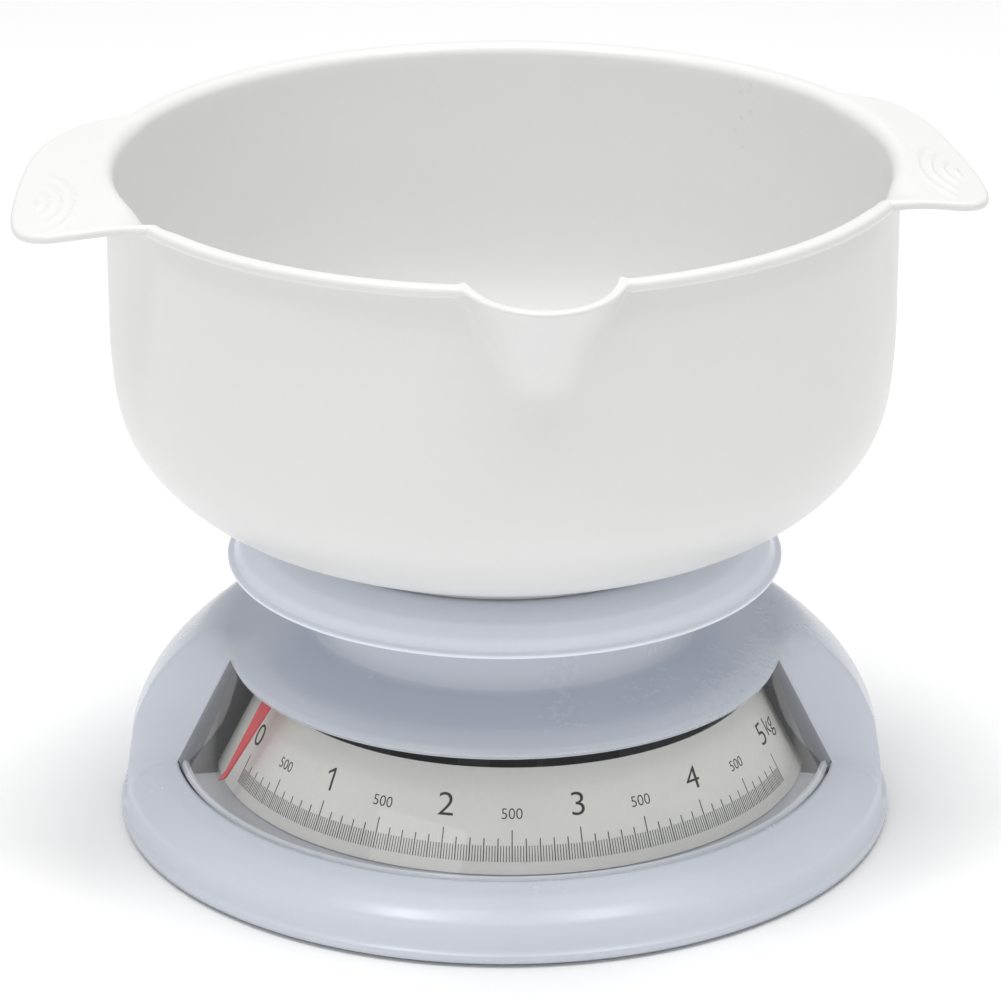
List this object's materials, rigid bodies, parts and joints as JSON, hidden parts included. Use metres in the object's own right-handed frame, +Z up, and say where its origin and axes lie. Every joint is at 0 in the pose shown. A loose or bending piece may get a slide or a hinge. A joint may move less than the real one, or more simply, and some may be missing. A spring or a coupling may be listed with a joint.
{
  "type": "kitchen scale",
  "caption": "Mechanical kitchen scale: round white housing with a sloping dial window, red pointer, sprung tray and a loose mixing bowl with pouring lip and two grips.",
  "frame": {"origin": "centre of the round base, on the surface the rubber foot ring stands on", "axes": "+Z up, the dial faces -Y, +X to the right along the line of the bowl grips"},
  "size_m": [0.2522, 0.2367, 0.1859],
  "materials": {
    "casing_white": "glossy moulded ABS, faint blue-white",
    "tray_white": "glossy moulded ABS, faint blue-white",
    "bowl_white": "soft-gloss polypropylene, white",
    "clear_window": "clear moulded acrylic",
    "card_cream": "printed card, cream",
    "surround_grey": "matt grey moulding",
    "pointer_red": "flat red paint",
    "steel": "zinc-plated pressed steel",
    "pin_steel": "ground steel pin",
    "brass": "turned brass",
    "nylon": "natural nylon",
    "acetal_black": "black acetal",
    "foot_rubber": "moulded rubber",
    "spring_steel": "spring wire",
    "knob_plastic": "ribbed moulded knob"
  },
  "bodies": {
    "base": {"housing": "casing_white", "window_lens": "clear_window", "dial_card": "card_cream", "dial_carrier": "surround_grey", "base_cover": "casing_white", "foot_ring": "foot_rubber", "cover_screws": "pin_steel", "chassis": "steel", "chassis_screws": "pin_steel", "overload_stop": "foot_rubber", "arbor_bridge": "steel", "lower_arbor_bush": "brass", "upper_arbor_bush": "brass", "rack_guide": "nylon", "upper_pivot_pin": "pin_steel", "lower_pivot_pin": "pin_steel", "crank_pivot_pin": "pin_steel", "zero_bush": "nylon"},
    "platform": {"tray": "tray_white", "platform_post": "acetal_black", "tray_screw": "pin_steel", "carrier": "steel", "upper_link_pins": "pin_steel", "lower_link_pins": "pin_steel", "drive_pin": "pin_steel", "main_spring_left": "spring_steel", "main_spring_right": "spring_steel"},
    "bowl": {"bowl": "bowl_white"},
    "upper_link": {"upper_link": "steel"},
    "lower_link": {"lower_link": "steel"},
    "crank": {"bell_crank": "nylon"},
    "rack": {"rack": "brass", "rack_pin": "pin_steel"},
    "pointer": {"pointer": "pointer_red", "pointer_hub": "brass", "pointer_arbor": "pin_steel", "pinion": "brass", "counterweight": "brass"},
    "zero_knob": {"zero_knob": "knob_plastic", "zero_screw": "pin_steel"},
    "zero_nut": {"zero_nut": "brass"},
    "zero_lever": {"zero_lever": "steel"}
  },
  "joints": [
    {"name": "platform_slide", "type": "slide", "parent": "base", "child": "platform", "axis": [0, 0, -1], "range_m": [0, 0.0084], "stiffness_N_per_m": 5850, "springref_m": -0.0012, "deforming": ["main_spring_left", "main_spring_right"]},
    {"name": "bowl_lift", "type": "slide", "parent": "platform", "child": "bowl", "axis": [0, 0, 1], "range_m": [0, 0.12]},
    {"name": "upper_link_pivot", "type": "hinge", "parent": "base", "child": "upper_link", "pos_m": [0, 0.058, 0.042], "axis": [1, 0, 0], "range_deg": [0, 13.4]},
    {"name": "lower_link_pivot", "type": "hinge", "parent": "base", "child": "lower_link", "pos_m": [0, 0.058, 0.015], "axis": [1, 0, 0], "range_deg": [0, 13.4]},
    {"name": "crank_pivot", "type": "hinge", "parent": "base", "child": "crank", "pos_m": [-0.0086, 0.036, 0.02], "axis": [1, 0, 0], "range_deg": [0, 33.4]},
    {"name": "rack_slide", "type": "slide", "parent": "base", "child": "rack", "axis": [0, -1, 0], "range_m": [0, 0.0084]},
    {"name": "pointer_spin", "type": "hinge", "parent": "base", "child": "pointer", "pos_m": [0, 0, 0.034], "axis": [0, 0, 1], "range_deg": [0, 137.5]},
    {"name": "zero_turn", "type": "hinge", "parent": "base", "child": "zero_knob", "pos_m": [0, 0.1, 0.02], "axis": [0, 1, 0], "range_deg": [-180, 180]},
    {"name": "zero_nut_slide", "type": "slide", "parent": "base", "child": "zero_nut", "axis": [0, 1, 0], "range_m": [-0.00077, 0.00077]},
    {"name": "zero_lever_pivot", "type": "hinge", "parent": "base", "child": "zero_lever", "pos_m": [0, 0.07, 0.042], "axis": [1, 0, 0], "range_deg": [-2.6, 2.6]}
  ],
  "couplings": [
    {"joint": "upper_link_pivot", "follows": "platform_slide", "rad_per_m": 27.841},
    {"joint": "lower_link_pivot", "follows": "platform_slide", "rad_per_m": 27.841},
    {"joint": "crank_pivot", "follows": "platform_slide", "rad_per_m": 69.394},
    {"joint": "rack_slide", "follows": "platform_slide", "ratio": 1},
    {"joint": "pointer_spin", "follows": "platform_slide", "rad_per_m": 285.71},
    {"joint": "zero_nut_slide", "follows": "zero_turn", "m_per_rad": 0.00023873},
    {"joint": "zero_lever_pivot", "follows": "zero_turn", "ratio": 0.01372}
  ]
}
